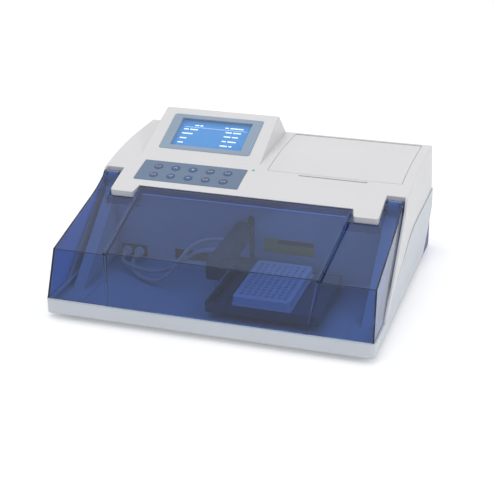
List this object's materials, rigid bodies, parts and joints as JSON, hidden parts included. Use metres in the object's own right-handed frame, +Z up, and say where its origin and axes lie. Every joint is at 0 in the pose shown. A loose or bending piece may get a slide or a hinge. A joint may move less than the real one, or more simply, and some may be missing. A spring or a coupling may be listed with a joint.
{
  "type": "microplate washer",
  "caption": "Bench microplate washer with a hinged tinted lid, plate carrier, needle manifold, keypad, tilted display and printer bay under a hinged cover.",
  "frame": {"origin": "on the bench, at the middle of the footprint", "axes": "+X to the right seen from the front, +Y to the rear, +Z up"},
  "size_m": [0.479, 0.418, 0.2046],
  "materials": {
    "housing_shell": "light warm grey moulded plastic, satin",
    "base_shell": "cool light grey moulded plastic, satin",
    "lid_tint": "dark blue tinted clear acrylic, glossy",
    "chamber_shell": "light grey moulded plastic, satin",
    "foot_rubber": "black rubber, matt",
    "foot_blue": "blue moulded plastic, satin",
    "steel": "plain steel, brushed",
    "bezel_grey": "grey blue moulded plastic, satin",
    "clear_window": "clear glass, polished",
    "display": "lit light blue display panel",
    "overlay_blue": "slate blue printed overlay, satin",
    "key_blue": "dark blue moulded keys, satin",
    "board_green": "green circuit board laminate, satin",
    "lamp_green": "clear green lamp lens, glossy",
    "carrier_grey": "dark blue grey moulded plastic, satin",
    "plate_clear": "clear polystyrene, glossy",
    "manifold_olive": "dark olive anodised aluminium, satin",
    "aluminium": "plain aluminium sheet, satin",
    "motor_black": "black painted steel, satin",
    "tube_silicone": "translucent silicone tube, satin",
    "dark_plastic": "black moulded plastic, satin",
    "paper": "wound white paper on a card core, matt",
    "platen_rubber": "black rubber sleeve on a steel shaft, matt",
    "panel_grey": "grey painted steel sheet, satin"
  },
  "bodies": {
    "housing": {"base_tray": "base_shell", "top_cover": "housing_shell", "chamber_liner": "chamber_shell", "front_feet": "foot_rubber", "rear_feet": "foot_blue", "housing_screws": "steel", "display_bezel": "bezel_grey", "display_window": "clear_window", "display_panel": "display", "keypad_overlay": "overlay_blue", "keypad_board": "board_green", "status_light": "lamp_green", "lid_pins": "steel", "carriage_frame": "aluminium", "carriage_rods": "steel", "carriage_motor": "motor_black", "lift_frame": "aluminium", "lift_rods": "steel", "lift_motor": "motor_black", "fitting_plate": "steel", "wall_fittings": "steel", "wash_tube": "tube_silicone", "suction_tube": "tube_silicone", "valve_block": "dark_plastic", "power_supply": "aluminium", "main_board": "board_green", "wash_pump": "motor_black", "vacuum_pump": "motor_black", "paper_bay": "base_shell", "paper_spindle": "dark_plastic", "printer_frame": "dark_plastic", "rear_panel": "panel_grey", "hose_ports": "steel", "power_inlet": "dark_plastic", "switch_body": "dark_plastic", "serial_port": "steel"},
    "lid": {"lid": "lid_tint"},
    "paper_cover": {"paper_cover": "housing_shell"},
    "paper_roll": {"paper_roll": "paper"},
    "platen": {"platen_roller": "platen_rubber"},
    "carriage": {"plate_carrier": "carrier_grey", "microplate": "plate_clear", "carriage_slider": "aluminium"},
    "carriage_screw": {"carriage_screw": "steel"},
    "manifold": {"manifold_bar": "manifold_olive", "needles": "steel", "manifold_fittings": "steel", "lift_block": "aluminium"},
    "lift_screw": {"lift_screw": "steel"},
    "key_1_1": {"key_1_1": "key_blue"},
    "key_1_2": {"key_1_2": "key_blue"},
    "key_1_3": {"key_1_3": "key_blue"},
    "key_1_4": {"key_1_4": "key_blue"},
    "key_1_5": {"key_1_5": "key_blue"},
    "key_2_1": {"key_2_1": "key_blue"},
    "key_2_2": {"key_2_2": "key_blue"},
    "key_2_3": {"key_2_3": "key_blue"},
    "key_2_4": {"key_2_4": "key_blue"},
    "key_2_5": {"key_2_5": "key_blue"},
    "power_rocker": {"power_rocker": "dark_plastic"}
  },
  "joints": [
    {"name": "lid_hinge", "type": "hinge", "parent": "housing", "child": "lid", "pos_m": [0, 0.001, 0.141], "axis": [-1, 0, 0], "range_deg": [0, 72]},
    {"name": "paper_cover_hinge", "type": "hinge", "parent": "housing", "child": "paper_cover", "pos_m": [0.1168, 0.199, 0.1626], "axis": [-1, 0, 0], "range_deg": [0, 75]},
    {"name": "carriage_slide", "type": "slide", "parent": "housing", "child": "carriage", "axis": [1, 0, 0], "range_m": [-0.0996, 0]},
    {"name": "carriage_screw_turn", "type": "hinge", "parent": "housing", "child": "carriage_screw", "pos_m": [-0.0105, 0.022, 0.04], "axis": [1, 0, 0], "continuous": true},
    {"name": "manifold_lift", "type": "slide", "parent": "housing", "child": "manifold", "axis": [0, 0, 1], "range_m": [-0.013, 0], "deforming": ["wash_tube", "suction_tube"]},
    {"name": "lift_screw_turn", "type": "hinge", "parent": "housing", "child": "lift_screw", "pos_m": [0.01, 0, 0.09], "axis": [0, 0, 1], "continuous": true},
    {"name": "paper_roll_turn", "type": "hinge", "parent": "housing", "child": "paper_roll", "pos_m": [0.1168, 0.12, 0.128], "axis": [-1, 0, 0], "continuous": true},
    {"name": "platen_turn", "type": "hinge", "parent": "housing", "child": "platen", "pos_m": [0.1168, 0.054, 0.138], "axis": [-1, 0, 0], "continuous": true},
    {"name": "key_1_1_press", "type": "slide", "parent": "housing", "child": "key_1_1", "axis": [0, 0.2124, -0.9772], "range_m": [0, 0.0005], "stiffness_N_per_m": 400, "springref_m": -0.0005},
    {"name": "key_1_2_press", "type": "slide", "parent": "housing", "child": "key_1_2", "axis": [0, 0.2124, -0.9772], "range_m": [0, 0.0005], "stiffness_N_per_m": 400, "springref_m": -0.0005},
    {"name": "key_1_3_press", "type": "slide", "parent": "housing", "child": "key_1_3", "axis": [0, 0.2124, -0.9772], "range_m": [0, 0.0005], "stiffness_N_per_m": 400, "springref_m": -0.0005},
    {"name": "key_1_4_press", "type": "slide", "parent": "housing", "child": "key_1_4", "axis": [0, 0.2124, -0.9772], "range_m": [0, 0.0005], "stiffness_N_per_m": 400, "springref_m": -0.0005},
    {"name": "key_1_5_press", "type": "slide", "parent": "housing", "child": "key_1_5", "axis": [0, 0.2124, -0.9772], "range_m": [0, 0.0005], "stiffness_N_per_m": 400, "springref_m": -0.0005},
    {"name": "key_2_1_press", "type": "slide", "parent": "housing", "child": "key_2_1", "axis": [0, 0.2124, -0.9772], "range_m": [0, 0.0005], "stiffness_N_per_m": 400, "springref_m": -0.0005},
    {"name": "key_2_2_press", "type": "slide", "parent": "housing", "child": "key_2_2", "axis": [0, 0.2124, -0.9772], "range_m": [0, 0.0005], "stiffness_N_per_m": 400, "springref_m": -0.0005},
    {"name": "key_2_3_press", "type": "slide", "parent": "housing", "child": "key_2_3", "axis": [0, 0.2124, -0.9772], "range_m": [0, 0.0005], "stiffness_N_per_m": 400, "springref_m": -0.0005},
    {"name": "key_2_4_press", "type": "slide", "parent": "housing", "child": "key_2_4", "axis": [0, 0.2124, -0.9772], "range_m": [0, 0.0005], "stiffness_N_per_m": 400, "springref_m": -0.0005},
    {"name": "key_2_5_press", "type": "slide", "parent": "housing", "child": "key_2_5", "axis": [0, 0.2124, -0.9772], "range_m": [0, 0.0005], "stiffness_N_per_m": 400, "springref_m": -0.0005},
    {"name": "power_rocker_tilt", "type": "hinge", "parent": "housing", "child": "power_rocker", "pos_m": [0.095, 0.1915, 0.0885], "axis": [1, 0, 0], "range_deg": [0, 16]}
  ],
  "couplings": [
    {"joint": "carriage_screw_turn", "follows": "carriage_slide", "rad_per_m": 628.32},
    {"joint": "lift_screw_turn", "follows": "manifold_lift", "rad_per_m": 1256.6},
    {"joint": "platen_turn", "follows": "paper_roll_turn", "ratio": -3.8333}
  ]
}
